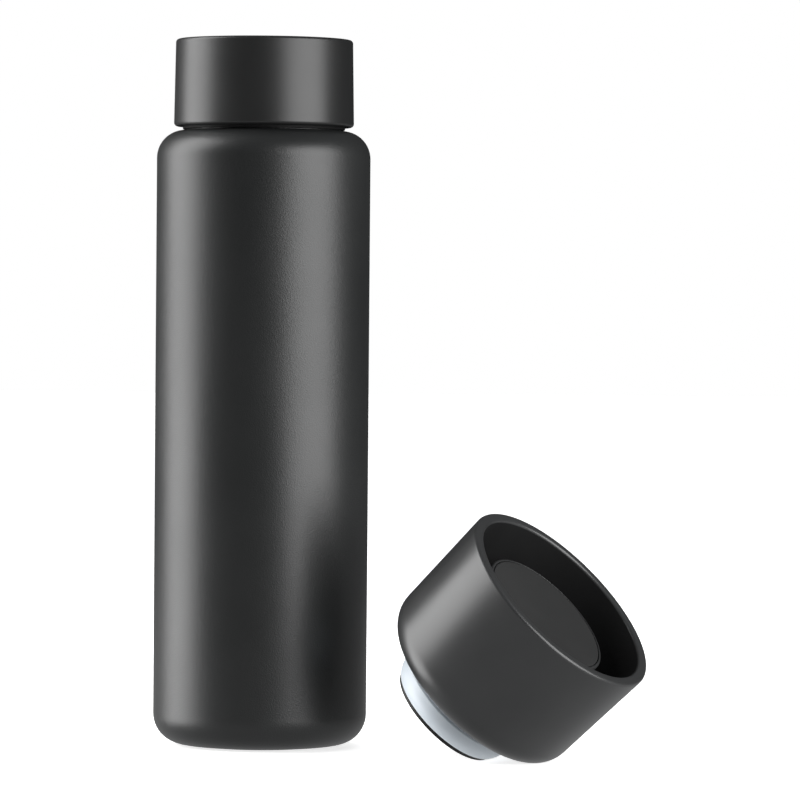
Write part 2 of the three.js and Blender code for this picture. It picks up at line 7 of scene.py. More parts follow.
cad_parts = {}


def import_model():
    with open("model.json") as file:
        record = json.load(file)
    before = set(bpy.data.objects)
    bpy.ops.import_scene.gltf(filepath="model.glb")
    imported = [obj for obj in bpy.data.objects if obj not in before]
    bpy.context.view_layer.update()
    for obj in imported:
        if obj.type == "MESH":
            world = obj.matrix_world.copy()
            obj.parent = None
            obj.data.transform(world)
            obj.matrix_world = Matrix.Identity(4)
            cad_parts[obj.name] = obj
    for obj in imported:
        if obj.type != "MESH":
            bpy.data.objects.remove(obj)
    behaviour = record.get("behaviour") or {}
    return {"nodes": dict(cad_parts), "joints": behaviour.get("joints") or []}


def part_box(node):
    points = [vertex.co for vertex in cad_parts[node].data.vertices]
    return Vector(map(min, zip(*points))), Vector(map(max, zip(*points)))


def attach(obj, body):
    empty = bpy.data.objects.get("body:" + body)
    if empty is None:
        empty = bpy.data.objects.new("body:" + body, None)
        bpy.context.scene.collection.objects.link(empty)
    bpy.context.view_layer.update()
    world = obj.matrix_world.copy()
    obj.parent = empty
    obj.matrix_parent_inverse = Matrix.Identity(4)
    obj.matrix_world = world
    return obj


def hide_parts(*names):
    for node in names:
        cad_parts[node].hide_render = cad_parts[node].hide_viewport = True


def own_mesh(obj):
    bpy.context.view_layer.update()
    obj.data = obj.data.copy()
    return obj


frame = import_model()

# Vacuum flask, its screw cap, and a loose push-button drinking lid leaning beside it.
# Outlines are (radius, height) in millimetres about a piece's own axis, anticlockwise.

MM = 0.001
SIDES = 160  # sides of the large round pieces
SMALL_SIDES = 64
ARC_STEP = math.radians(7)  # along an outline's round stretches
SHARP = math.radians(32)  # edges that turn more than this are shaded sharp
ON_AXIS = 1e-6  # points nearer the axis than this are on it
SAME_POINT = 1e-4  # outline points nearer than this are one point

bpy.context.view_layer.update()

JOINTS = {joint["name"]: joint for joint in frame["joints"]}
FLASK = Matrix.Identity(4)


def lid_frame():
    """The drinking lid's own frame: z along its axis, x towards its lowest side."""
    latch = JOINTS["latch_turn"]
    z = Vector(latch["axis"]).normalized()
    down = Vector((0, 0, -1))
    x = (down - z * down.dot(z)).normalized()
    y = z.cross(x)
    turn = Matrix((x, y, z)).transposed().to_4x4()
    return Matrix.Translation(Vector(latch["pos_m"])) @ turn


LID = lid_frame()


class Span:
    """A CAD node's reach along and about an axis, in millimetres."""

    def __init__(self, node, axis_frame):
        inverse = axis_frame.inverted()
        places = [inverse @ v.co / MM for v in frame["nodes"][node].data.vertices]
        heights = [p.z for p in places]
        radii = [math.hypot(p.x, p.y) for p in places]
        self.low, self.high = min(heights), max(heights)
        self.inner, self.outer = min(radii), max(radii)


# Outlines and meshes ------------------------------------------------------------------------------


def arc(r, z, radius, start, end):
    """Points on a round stretch, angles in degrees, both ends included."""
    count = max(2, math.ceil(abs(math.radians(end - start)) / ARC_STEP))
    angles = [math.radians(start + (end - start) * i / count) for i in range(count + 1)]
    return [(r + radius * math.cos(a), z + radius * math.sin(a)) for a in angles]


def rounded(corners):
    """Points through the corners: (r, z) stays sharp, (r, z, radius) is rounded."""
    points = []
    for i, corner in enumerate(corners):
        here = Vector(corner[:2])
        radius = corner[2] if len(corner) == 3 else 0
        if not radius:
            points.append(tuple(here))
            continue
        back = (Vector(corners[i - 1][:2]) - here).normalized()
        ahead = (Vector(corners[(i + 1) % len(corners)][:2]) - here).normalized()
        half = back.angle(ahead) / 2
        centre = here + (back + ahead).normalized() * radius / math.sin(half)
        start = here + back * radius / math.tan(half) - centre
        end = here + ahead * radius / math.tan(half) - centre
        first = math.atan2(start.y, start.x)
        sweep = (math.atan2(end.y, end.x) - first + math.pi) % math.tau - math.pi
        count = max(2, math.ceil(abs(sweep) / ARC_STEP))
        for step in range(count + 1):
            angle = first + sweep * step / count
            points.append((centre.x + radius * math.cos(angle), centre.y + radius * math.sin(angle)))
    return [point for i, point in enumerate(points) if math.dist(point, points[i - 1]) > SAME_POINT]


def stretch(start, end, count):
    """Evenly spaced points between two outline points, both left out."""
    a, b = Vector(start), Vector(end)
    return [tuple(a.lerp(b, i / count)) for i in range(1, count)]


def turned_mesh(outline, sides=SIDES, relief=None):
    """Vertices and faces of a solid of revolution.

    relief(angle, r, z) may change a point's radius.
    """
    rows = []
    places = []
    for r, z in outline:
        if r < ON_AXIS:
            rows.append([len(places)])
            places.append((0, 0, z * MM))
            continue
        rows.append(list(range(len(places), len(places) + sides)))
        for side in range(sides):
            angle = math.tau * side / sides
            reach = relief(angle, r, z) if relief else r
            x, y = reach * math.cos(angle), reach * math.sin(angle)
            places.append((x * MM, y * MM, z * MM))
    faces = []
    follow = rows[1:] + ([rows[0]] if outline[0][0] > ON_AXIS else [])
    for low, high in zip(rows, follow):
        for side in range(sides):
            after = (side + 1) % sides
            if len(low) == 1:
                faces.append((low[0], high[after], high[side]))
            elif len(high) == 1:
                faces.append((low[side], low[after], high[0]))
            else:
                faces.append((low[side], low[after], high[after], high[side]))
    return places, faces


def add_piece(name, parts, material, body, replaced, axis_frame=FLASK):
    """One object from (vertices, faces) parts about an axis, standing for a CAD node."""
    places, faces = [], []
    for part_places, part_faces in parts:
        offset = len(places)
        places += part_places
        faces += [tuple(i + offset for i in face) for face in part_faces]
    mesh = bpy.data.meshes.new(name)
    placed = [tuple(axis_frame @ Vector(place)) for place in places]
    mesh.from_pydata(placed, [], faces)
    mesh.validate()
    mesh.polygons.foreach_set("use_smooth", [True] * len(mesh.polygons))
    mesh.set_sharp_from_angle(angle=SHARP)
    mesh.materials.append(material)
    piece = bpy.data.objects.new(name, mesh)
    bpy.context.scene.collection.objects.link(piece)
    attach(piece, body)
    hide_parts(replaced)
    return piece


def box_part(size_x, size_y, low, high):
    """Vertices and faces of an upright box about the z axis."""
    x, y = size_x * MM / 2, size_y * MM / 2
    corners = ((-x, -y), (x, -y), (x, y), (-x, y))
    places = [(*corner, z * MM) for z in (low, high) for corner in corners]
    faces = [(3, 2, 1, 0), (4, 5, 6, 7)]
    faces += [(i, (i + 1) % 4, (i + 1) % 4 + 4, i + 4) for i in range(4)]
    return places, faces


# Screw threads: two starts, right-handed ------------------------------------------------------------

THREAD_STARTS = 2
THREAD_LEAD = 8.0
RIDGE_HEIGHT = 0.8
RIDGE_HALF_WIDTH = 0.95
RIDGE_FLANK = 0.55  # share of the half width that slopes
RIDGE_FADE = 0.05  # turns over which a ridge runs out
RIDGE_START = 3.1  # above the collar's lower face
CAP_RIDGE_TURNS = 0.75
THREAD_STEPS = 60  # rows of vertices up a threaded wall
LID_THREAD_STEPS = 40
ON_WALL = 0.01  # points this near a wall's radius belong to it


def ridge(angle, z, start_z, turns):
    """0 off the thread's ridges, 1 on their crests."""
    best = 0.0
    for start in range(THREAD_STARTS):
        turn = (angle / math.tau - start / THREAD_STARTS) % 1.0
        while turn <= turns:
            away = abs(z - start_z - THREAD_LEAD * turn) / RIDGE_HALF_WIDTH
            if away < 1:
                side = min(1.0, (1 - away) / RIDGE_FLANK)
                end = min(1.0, turn / RIDGE_FADE, (turns - turn) / RIDGE_FADE)
                best = max(best, (3 - 2 * side) * side * side * end)
            turn += 1.0
    return best


# Materials ------------------------------------------------------------------------------------------


class Nodes:
    """A short hand for building one node material."""

    def __init__(self, name):
        self.material = bpy.data.materials.new(name)
        self.material.use_nodes = True
        self.tree = self.material.node_tree
        self.shader = self.tree.nodes["Principled BSDF"]
        self.place = self.add("ShaderNodeTexCoord").outputs["Object"]

    def add(self, kind):
        return self.tree.nodes.new(kind)

    def link(self, source, target):
        self.tree.links.new(source, target)

    def stretched(self, scale, axis_frame):
        """Object coordinates turned to a frame's axes, then scaled along each of them."""
        turned = self.add("ShaderNodeMapping")
        turned.inputs["Rotation"].default_value = axis_frame.to_3x3().inverted().to_euler()
        self.link(self.place, turned.inputs["Vector"])
        scaled = self.add("ShaderNodeMapping")
        scaled.inputs["Scale"].default_value = scale
        self.link(turned.outputs["Vector"], scaled.inputs["Vector"])
        return scaled.outputs["Vector"]

    def noise(self, scale, detail=3.0, roughness=0.55, vector=None):
        node = self.add("ShaderNodeTexNoise")
        node.inputs["Scale"].default_value = scale
        node.inputs["Detail"].default_value = detail
        node.inputs["Roughness"].default_value = roughness
        self.link(vector or self.place, node.inputs["Vector"])
        return node.outputs["Fac"]

    def cells(self, scale):
        node = self.add("ShaderNodeTexVoronoi")
        node.inputs["Scale"].default_value = scale
        self.link(self.place, node.inputs["Vector"])
        return node.outputs["Distance"]

    def spread(self, source, low, high, to_low, to_high):
        """Maps the range low to high onto to_low to to_high."""
        node = self.add("ShaderNodeMapRange")
        node.inputs["From Min"].default_value = low
        node.inputs["From Max"].default_value = high
        node.inputs["To Min"].default_value = to_low
        node.inputs["To Max"].default_value = to_high
        self.link(source, node.inputs["Value"])
        return node.outputs["Result"]

    def colours(self, source, *stops):
        """A colour ramp: stops are (position, (r, g, b))."""
        node = self.add("ShaderNodeValToRGB")
        ramp = node.color_ramp
        while len(ramp.elements) < len(stops):
            ramp.elements.new(0.5)
        for element, (position, colour) in zip(ramp.elements, stops):
            element.position = position
            element.color = (*colour, 1)
        self.link(source, node.inputs["Fac"])
        return node.outputs["Color"]

    def bump(self, height, distance, below=None):
        """A bump of some depth in metres, over the normal of another one."""
        node = self.add("ShaderNodeBump")
        node.inputs["Strength"].default_value = 1.0
        node.inputs["Distance"].default_value = distance
        self.link(height, node.inputs["Height"])
        if below is not None:
            self.link(below, node.inputs["Normal"])
        return node.outputs["Normal"]

    def set(self, **values):
        for key, value in values.items():
            self.shader.inputs[key.replace("_", " ")].default_value = value

    def wire(self, key, source):
        self.link(source, self.shader.inputs[key])


def moulded(name, dark, light, rough, grain, height, specular=0.5):
    """Moulded plastic or rubber: slow colour and gloss drift, and a fine grain."""
    nodes = Nodes(name)
    drift = nodes.noise(45, 4)
    nodes.wire("Base Color", nodes.colours(drift, (0.3, dark), (0.7, light)))
    smudge = nodes.noise(22, 5, 0.6)
    nodes.wire("Roughness", nodes.spread(smudge, 0.3, 0.7, rough[0], rough[1]))
    fine = nodes.noise(grain, 2)
    nodes.wire("Normal", nodes.bump(fine, height * MM))
    nodes.set(Specular_IOR_Level=specular)
    return nodes.material


def powder_coat():
    """Fine-grained powder coat: small rounded grains over a slight orange peel."""
    nodes = Nodes("powder_coat")
    drift = nodes.noise(30, 4)
    dark, light = (0.0096, 0.0103, 0.0104), (0.0126, 0.0133, 0.0134)
    nodes.wire("Base Color", nodes.colours(drift, (0.3, dark), (0.7, light)))
    smudge = nodes.noise(14, 5, 0.6)
    nodes.wire("Roughness", nodes.spread(smudge, 0.3, 0.7, 0.37, 0.43))
    peel = nodes.bump(nodes.noise(700, 2), 0.005 * MM)
    nodes.wire("Normal", nodes.bump(nodes.cells(2400), 0.03 * MM, peel))
    return nodes.material


def turned_steel(name, colour, rough=0.27, axis_frame=FLASK):
    """Bare metal with fine lines round the piece's axis."""
    nodes = Nodes(name)
    lines = nodes.noise(1.0, 3, 0.6, nodes.stretched((60, 60, 4200), axis_frame))
    tone = tuple(channel * 0.9 for channel in colour)
    nodes.wire("Base Color", nodes.colours(lines, (0.35, tone), (0.65, colour)))
    nodes.wire("Roughness", nodes.spread(nodes.noise(40, 4), 0.3, 0.7, rough - 0.04, rough + 0.06))
    nodes.wire("Normal", nodes.bump(lines, 0.004 * MM))
    nodes.set(Metallic=1.0)
    return nodes.material


def silicone(name, colour, shade):
    """Translucent silicone with a soft bloom and a faint moulding grain."""
    nodes = Nodes(name)
    drift = nodes.noise(60, 3)
    nodes.wire("Base Color", nodes.colours(drift, (0.3, shade), (0.7, colour)))
    nodes.wire("Roughness", nodes.spread(nodes.noise(80, 3), 0.3, 0.7, 0.38, 0.5))
    nodes.wire("Normal", nodes.bump(nodes.noise(1500, 2), 0.01 * MM))
    nodes.set(Subsurface_Weight=0.6, Subsurface_Radius=(1.0, 1.0, 1.0), Subsurface_Scale=0.0015)
    return nodes.material


def foam():
    """Closed-cell foam with fine pores."""
    nodes = Nodes("insulating_foam")
    pores = nodes.cells(900)
    nodes.wire("Base Color", nodes.colours(pores, (0.0, (0.5, 0.48, 0.42)), (0.5, (0.8, 0.78, 0.7))))
    nodes.wire("Normal", nodes.bump(pores, 0.4 * MM))
    nodes.set(Roughness=0.9)
    return nodes.material


COAT = powder_coat()
CAP_PLASTIC = moulded(
    "satin_black_plastic", (0.0095, 0.0097, 0.0098), (0.0125, 0.0127, 0.0128),
    rough=(0.35, 0.41), grain=2200, height=0.006, specular=0.46,
)
LID_PLASTIC = moulded(
    "lid_black_plastic", (0.023, 0.0235, 0.024), (0.027, 0.0275, 0.028),
    rough=(0.3, 0.36), grain=2200, height=0.006,
)
# Dull black plastic of the inner parts; on the lid's bowl wall it also stands for painted shade in the
# recess.
INNER_PLASTIC_AND_BOWL_SHADE = moulded(
    "dull_black_plastic_and_bowl_shade", (0.006, 0.006, 0.0062), (0.009, 0.009, 0.0092),
    rough=(0.5, 0.6), grain=1600, height=0.01, specular=0.35,
)
# The collar is black plastic, made extra dark and matt as painted shade in the gap between the cap and
# the shoulder.
GAP_SHADE_COLLAR_PLASTIC = moulded(
    "matt_black_plastic_painted_gap_shade", (0.005, 0.005, 0.0052), (0.007, 0.007, 0.0072),
    rough=(0.6, 0.7), grain=1600, height=0.01, specular=0.15,
)
BUTTON_PLASTIC = moulded(
    "button_black_plastic", (0.016, 0.0165, 0.017), (0.02, 0.0205, 0.021),
    rough=(0.42, 0.5), grain=1800, height=0.008,
)
PAD_PLASTIC = moulded(
    "soft_grey_pad", (0.0115, 0.0117, 0.0117), (0.0145, 0.0147, 0.0147),
    rough=(0.55, 0.62), grain=2400, height=0.012,
)
BLACK_RUBBER = moulded(
    "black_rubber", (0.012, 0.012, 0.012), (0.018, 0.018, 0.018),
    rough=(0.68, 0.8), grain=1400, height=0.02, specular=0.3,
)
WHITE_SILICONE = silicone("white_silicone", (0.68, 0.735, 0.785), (0.63, 0.685, 0.735))
STEEL_COLOUR = (0.62, 0.61, 0.59)
STEEL = turned_steel("stainless_steel", STEEL_COLOUR)
LID_STEEL = turned_steel("lid_stainless_steel", STEEL_COLOUR, axis_frame=LID)
COPPER = turned_steel("copper_foil", (0.82, 0.46, 0.31), 0.24)
FOAM = foam()

# Flask ----------------------------------------------------------------------------------------------

GAP = 0.3
SHEET = 0.5
FOOT_CORNER = 10.0
SHOULDER = 9.1
LINER_CORNER = 10.0
LINER_SHOULDER = 6.5
LINER_SHOULDER_ABOVE_FOIL = 8.5
LIP_THICK = 0.7


def outer_shell():
    shell = Span("outer_shell", FLASK)
    collar = Span("neck_collar", FLASK)
    top, neck = collar.low - GAP, collar.inner - GAP
    inside = shell.outer - SHEET
    foot = Span("outer_base", FLASK).outer + GAP
    outline = rounded([
        (foot, shell.low, 0.3),
        (shell.outer, shell.low, FOOT_CORNER),
        (shell.outer, top, SHOULDER),
        (neck, top, 0.15),
        (neck, shell.high),
        (neck - SHEET, shell.high),
        (neck - SHEET, top - SHEET, 0.6),
        (inside, top - SHEET, SHOULDER - SHEET),
        (inside, shell.low + SHEET, FOOT_CORNER - SHEET),
        (foot, shell.low + SHEET, 0.3),
    ])
    add_piece("powder_coated_shell", [turned_mesh(outline)], COAT, "flask", "outer_shell")


def outer_base():
    base = Span("outer_base", FLASK)
    outline = rounded([
        (base.inner, base.high - SHEET),
        (base.outer - SHEET, base.high - SHEET, 0.3),
        (base.outer - SHEET, base.low, 0.2),
        (base.outer, base.low, 0.2),
        (base.outer, base.high, 0.5),
        (base.inner, base.high),
    ])
    add_piece("pressed_base", [turned_mesh(outline, SMALL_SIDES)], STEEL, "flask", "outer_base")


def base_pad():
    pad = Span("base_pad", FLASK)
    groove_depth = 0.35
    groove_mouth, groove_floor = 0.4, 0.15  # half widths
    corners = [(0, pad.low)]
    for r in (5, 9, 13, 17):
        corners += [
            (r - groove_mouth, pad.low),
            (r - groove_floor, pad.low + groove_depth),
            (r + groove_floor, pad.low + groove_depth),
            (r + groove_mouth, pad.low),
        ]
    corners += [(pad.outer, pad.low, 0.5), (pad.outer, pad.high, 0.3), (0, pad.high)]
    add_piece("non_slip_pad", [turned_mesh(rounded(corners))], BLACK_RUBBER, "flask", "base_pad")


def inner_liner():
    liner = Span("inner_liner", FLASK)
    lip = Span("neck_collar", FLASK).inner - GAP
    bore = liner.inner
    shoulder_top = Span("radiation_shield", FLASK).high + LINER_SHOULDER_ABOVE_FOIL
    outline = rounded([
        (liner.outer - SHEET, liner.low),
        (liner.outer, liner.low),
        (liner.outer, shoulder_top, LINER_SHOULDER),
        (bore + SHEET, shoulder_top, 1.1),
        (bore + SHEET, liner.high - LIP_THICK),
        (lip, liner.high - LIP_THICK, 0.25),
        (lip, liner.high, 0.35),
        (bore, liner.high, 0.5),
        (bore, shoulder_top - SHEET, 1.1 + SHEET),
        (liner.outer - SHEET, shoulder_top - SHEET, LINER_SHOULDER - SHEET),
    ])
    add_piece("steel_liner", [turned_mesh(outline)], STEEL, "flask", "inner_liner")


def liner_bottom():
    cup = Span("liner_bottom", FLASK)
    outline = rounded([
        (0, cup.low),
        (cup.outer, cup.low, LINER_CORNER),
        (cup.outer, cup.high),
        (cup.outer - SHEET, cup.high),
        (cup.outer - SHEET, cup.low + SHEET, LINER_CORNER - SHEET),
        (0, cup.low + SHEET),
    ])
    add_piece("steel_liner_bottom", [turned_mesh(outline)], STEEL, "flask", "liner_bottom")


def radiation_shield():
    foil = Span("radiation_shield", FLASK)
    outline = [
        (foil.inner, foil.low),
        (foil.outer, foil.low),
        (foil.outer, foil.high),
        (foil.inner, foil.high),
    ]
    add_piece("copper_shield", [turned_mesh(outline)], COPPER, "flask", "radiation_shield")


def neck_collar():
    collar = Span("neck_collar", FLASK)
    wall = collar.outer - RIDGE_HEIGHT
    lower, upper = (wall, collar.low + 0.6), (wall, collar.high - 0.6)
    outline = rounded([
        (collar.inner, collar.low),
        (wall, collar.low, 0.25),
        *stretch(lower, upper, THREAD_STEPS),
        (wall, collar.high, 0.4),
        (collar.inner, collar.high),
    ])

    def relief(angle, r, z):
        if abs(r - wall) > ON_WALL:
            return r
        return r + RIDGE_HEIGHT * ridge(angle, z, collar.low + RIDGE_START, 1.0)

    mesh = turned_mesh(outline, SIDES, relief)
    # Its extra dark, matt plastic is painted shade for the gap under the cap.
    add_piece("threaded_collar", [mesh], GAP_SHADE_COLLAR_PLASTIC, "flask", "neck_collar")


# Screw cap ------------------------------------------------------------------------------------------

CAP_TAPER = 0.5
CAP_TOP_THICK = 2.2
CAP_THREAD_REACH = 12  # below the cap's ceiling
CAP_BORE_ROOM = 0.5  # round the crests of the collar's thread
CORE_WALL = 1.2
SEAT_ABOVE_LIP = 0.7


def cap_shell():
    cap = Span("cap_shell", FLASK)
    collar = Span("neck_collar", FLASK)
    bore = collar.outer + CAP_BORE_ROOM
    ceiling = cap.high - CAP_TOP_THICK
    lower, upper = (bore, ceiling - CAP_THREAD_REACH), (bore, cap.low + 0.6)
    outline = rounded([
        (0, ceiling),
        (bore, ceiling, 0.8),
        *stretch(lower, upper, THREAD_STEPS),
        (bore, cap.low, 0.2),
        (cap.outer, cap.low, 1.25),
        (cap.outer - CAP_TAPER, cap.high, 1.1),
        (0, cap.high),
    ])
    start_z = collar.low + RIDGE_START + THREAD_LEAD / THREAD_STARTS / 2

    def relief(angle, r, z):
        if abs(r - bore) > ON_WALL:
            return r
        return r - RIDGE_HEIGHT * ridge(angle, z, start_z, CAP_RIDGE_TURNS)

    add_piece("screw_cap", [turned_mesh(outline, SIDES, relief)], CAP_PLASTIC, "cap", "cap_shell")


def cap_core():
    core = Span("cap_core", FLASK)
    gasket = Span("cap_gasket", FLASK)
    plug, groove = gasket.outer - 0.4, gasket.inner - GAP
    seat = Span("inner_liner", FLASK).high + SEAT_ABOVE_LIP
    outline = rounded([
        (0, core.low),
        (plug, core.low, 0.4),
        (plug, gasket.low - GAP, 0.2),
        (groove, gasket.low - GAP),
        (groove, gasket.high + GAP),
        (plug, gasket.high + GAP, 0.2),
        (plug, seat, 0.2),
        (core.outer, seat, 0.4),
        (core.outer, core.high, 0.2),
        (core.outer - CORE_WALL, core.high, 0.2),
        (core.outer - CORE_WALL, seat + CORE_WALL),
        (groove - CORE_WALL, seat + CORE_WALL),
        (groove - CORE_WALL, core.low + CORE_WALL),
        (0, core.low + CORE_WALL),
    ])
    add_piece("cap_plug", [turned_mesh(outline)], INNER_PLASTIC_AND_BOWL_SHADE, "cap", "cap_core")


def cap_foam():
    filling = Span("cap_foam", FLASK)
    neck = Span("cap_gasket", FLASK).inner - GAP - CORE_WALL - GAP
    step = Span("inner_liner", FLASK).high + SEAT_ABOVE_LIP + CORE_WALL + GAP
    outline = rounded([
        (0, filling.low),
        (neck, filling.low, 0.5),
        (neck, step, 0.3),
        (filling.outer, step, 0.5),
        (filling.outer, filling.high, 0.5),
        (0, filling.high),
    ])
    add_piece("cap_filling", [turned_mesh(outline, SMALL_SIDES)], FOAM, "cap", "cap_foam")


def cap_gasket():
    gasket = Span("cap_gasket", FLASK)
    valley, half_width = gasket.outer - 0.5, 0.35
    middle = (gasket.low + gasket.high) / 2
    outline = rounded([
        (gasket.inner, gasket.low, 0.2),
        (gasket.outer, gasket.low, 0.7),
        (gasket.outer, middle - half_width, 0.4),
        (valley, middle, 0.3),
        (gasket.outer, middle + half_width, 0.4),
        (gasket.outer, gasket.high, 0.7),
        (gasket.inner, gasket.high, 0.2),
    ])
    add_piece("cap_seal_ring", [turned_mesh(outline)], WHITE_SILICONE, "cap_seal", "cap_gasket")


# Drinking lid ---------------------------------------------------------------------------------------

LID_FILLET = 9.1
LID_WALL = 2.6
LID_FLARE = 1.1  # from the base fillet out to the rim
RIM_FILLET = 1.1
LIP_FILLET = 1.0
BOWL_FLOOR_THICK = 2.5
NECK_ROOM = 6.1  # between the plug and the lid's thread, for the flask's neck
CEILING = 15.3
THROAT = 19.3
SKIRT = 29.9


def lid_shell():
    shell = Span("lid_shell", LID)
    insert = Span("lid_insert", LID)
    base = shell.outer - LID_FLARE
    mouth = insert_bore() - 0.2  # just inside the wall of the thread
    bowl = insert.outer + GAP
    centre = base - LID_FILLET

    def edge(radius):
        return -math.degrees(math.acos((mouth - centre) / radius))

    outline = arc(centre, LID_FILLET, LID_FILLET, edge(LID_FILLET), 0)
    outline += rounded([
        outline[-1],
        (shell.outer, shell.high, RIM_FILLET),
        (bowl, shell.high, LIP_FILLET),
        (bowl, LID_FILLET),
    ])[1:-1]
    outline += arc(centre, LID_FILLET, LID_FILLET - LID_WALL, 0, edge(LID_FILLET - LID_WALL))
    mesh = turned_mesh(outline)
    piece = add_piece("lid_outer_shell", [mesh], LID_PLASTIC, "drinking_lid", "lid_shell", LID)
    piece.data.materials.append(INNER_PLASTIC_AND_BOWL_SHADE)
    to_lid = LID.inverted()
    for face in piece.data.polygons:
        place = to_lid @ face.center / MM
        if math.hypot(place.x, place.y) < bowl and place.z > LID_FILLET:
            face.material_index = 1  # the wall of the bowl, in the darker inner plastic: painted shade for the recess


def insert_bore():
    """Radius of the wall that carries the lid's thread."""
    return Span("plug_body", LID).outer + NECK_ROOM


def lid_insert():
    insert = Span("lid_insert", LID)
    bore = insert_bore()
    floor_low = insert.high - BOWL_FLOOR_THICK
    lower, upper = (bore, CEILING - 0.6), (bore, insert.low + 0.6)
    outline = rounded([
        (SKIRT, insert.low, 0.3),
        (SKIRT, floor_low),
        (insert.outer, floor_low),
        (insert.outer, insert.high, 0.1),
        (THROAT, insert.high - 1.4, 0.5),
        (THROAT, CEILING),
        (bore, CEILING, 0.4),
        *stretch(lower, upper, LID_THREAD_STEPS),
        (bore, insert.low, 0.3),
    ])

    def relief(angle, r, z):
        if abs(r - bore) > ON_WALL:
            return r
        return r - RIDGE_HEIGHT * ridge(angle, z, insert.low + 1.1, CAP_RIDGE_TURNS)

    mesh = turned_mesh(outline, SIDES, relief)
    add_piece("lid_bowl_floor", [mesh], INNER_PLASTIC_AND_BOWL_SHADE, "drinking_lid", "lid_insert", LID)


def plug_body():
    plug = Span("plug_body", LID)
    seal = Span("main_seal", LID)
    tube = seal.inner - GAP
    tube_wall = 2.2
    bore = tube - tube_wall
    collar_top = CEILING - GAP
    rib_low, rib_high = 8.0, 16.0
    rib_thick = 2.4
    hub_bore, hub_radius = 2.85, 5.2
    rib_from, rib_to = hub_radius - 0.6, bore + 0.2  # its ends run into the hub and the tube
    outline = rounded([
        (bore, plug.low, 0.3),
        (tube, plug.low, 0.3),
        (tube, 0),
        (plug.outer, 0, 0.4),
        (plug.outer, collar_top, 0.4),
        (tube, collar_top),
        (tube, plug.high, 0.3),
        (bore, plug.high, 0.5),
    ])
    hub = rounded([
        (hub_bore, rib_low, 0.3),
        (hub_radius, rib_low, 0.4),
        (hub_radius, rib_high, 0.4),
        (hub_bore, rib_high, 0.3),
    ])
    parts = [turned_mesh(outline), turned_mesh(hub, SMALL_SIDES)]
    outward = Matrix.Translation(((rib_from + rib_to) / 2 * MM, 0, 0))
    for quarter in range(4):
        places, faces = box_part(rib_to - rib_from, rib_thick, rib_low, rib_high)
        shift = Matrix.Rotation(quarter * math.pi / 2, 4, "Z") @ outward
        parts.append(([tuple(shift @ Vector(place)) for place in places], faces))
    add_piece("plug_tube", parts, INNER_PLASTIC_AND_BOWL_SHADE, "drinking_lid", "plug_body", LID)


def main_seal():
    seal = Span("main_seal", LID)
    end = 7.5  # radius of its rounded lower end
    bend = -5.2  # height of that round's centre
    step = -2.9  # where it narrows to the upper band
    band = seal.outer - 0.6
    first = math.degrees(math.asin((seal.low - bend) / end))
    outline = [(seal.inner, seal.low)] + arc(seal.outer - end, bend, end, first, 0)
    outline += rounded([
        outline[-1],
        (seal.outer, step - 0.6, 0.5),
        (band, step, 0.5),
        (band, seal.high, 0.3),
        (seal.inner, seal.high),
        outline[0],
    ])[1:-1]
    add_piece("white_seal", [turned_mesh(outline)], WHITE_SILICONE, "drinking_lid", "main_seal", LID)


# Button group ---------------------------------------------------------------------------------------


def button_cap():
    cap = Span("button_cap", LID)
    pad = Span("button_pad", LID)
    under = cap.high - 3.0
    socket, boss = 2.9, 4.5  # for the stem
    seat = Span("return_spring", LID).outer + 0.7
    skirt = seat + 1.2
    outline = rounded([
        (0, under - 0.1),
        (socket, under - 0.1),
        (socket, cap.low, 0.2),
        (boss, cap.low, 0.3),
        (boss, under),
        (seat, under),
        (seat, cap.low + 1, 0.3),
        (skirt, cap.low + 1, 0.3),
        (skirt, under),
        (cap.outer, under, 0.6),
        (cap.outer, cap.high, 0.8),
        (pad.outer + GAP, cap.high, 0.12),
        (pad.outer + GAP, pad.low - GAP),
        (0, pad.low - GAP),
    ])
    add_piece("push_button", [turned_mesh(outline)], BUTTON_PLASTIC, "button", "button_cap", LID)


def button_pad():
    pad = Span("button_pad", LID)
    dish = 0.15  # how far its middle lies below its edge
    steps = 8
    radius = (pad.outer**2 + dish**2) / (2 * dish)
    crown = []
    for step in range(steps - 1, 0, -1):
        r = pad.outer * step / steps
        crown.append((r, pad.high - dish + radius - math.sqrt(radius**2 - r**2)))
    outline = rounded([
        (0, pad.low),
        (pad.outer, pad.low),
        (pad.outer, pad.high, 0.25),
        *crown,
        (0, pad.high - dish),
    ])
    add_piece("button_soft_pad", [turned_mesh(outline)], PAD_PLASTIC, "button", "button_pad", LID)


def stem():
    rod = Span("stem", LID)
    bore = 1.5
    bore_top = Span("valve_screw", LID).high + 1.0
    outline = rounded([
        (0, bore_top),
        (bore, bore_top),
        (bore, rod.low),
        (rod.outer, rod.low, 0.3),
        (rod.outer, rod.high, 0.4),
        (0, rod.high),
    ])
    add_piece("valve_stem", [turned_mesh(outline, SMALL_SIDES)], LID_STEEL, "button", "stem", LID)


def valve_plate():
    plate = Span("valve_plate", LID)
    top = plate.low + 1.3
    middle, rim = 6.0, plate.outer - 1.8  # the face between them is sunk
    slope, sunk = 0.4, plate.low + 0.2
    socket, boss = 2.9, 5.0  # for the stem
    outline = rounded([
        (plate.inner, plate.low),
        (middle, plate.low, 0.4),
        (middle + slope, sunk, 0.3),
        (rim - slope, sunk, 0.3),
        (rim, plate.low, 0.3),
        (plate.outer, plate.low, 0.3),
        (plate.outer, top),
        (boss, top),
        (boss, plate.high, 0.3),
        (socket, plate.high, 0.3),
        (socket, top),
        (plate.inner, top),
    ])
    add_piece("valve_disc", [turned_mesh(outline)], INNER_PLASTIC_AND_BOWL_SHADE, "button", "valve_plate", LID)


def valve_seal():
    seal = Span("valve_seal", LID)
    outline = rounded([
        (seal.inner, seal.low, 0.3),
        (seal.outer, seal.low, 0.4),
        (seal.outer, seal.high, 0.4),
        (seal.inner, seal.high, 0.3),
    ])
    add_piece("valve_seal_ring", [turned_mesh(outline)], BLACK_RUBBER, "button", "valve_seal", LID)


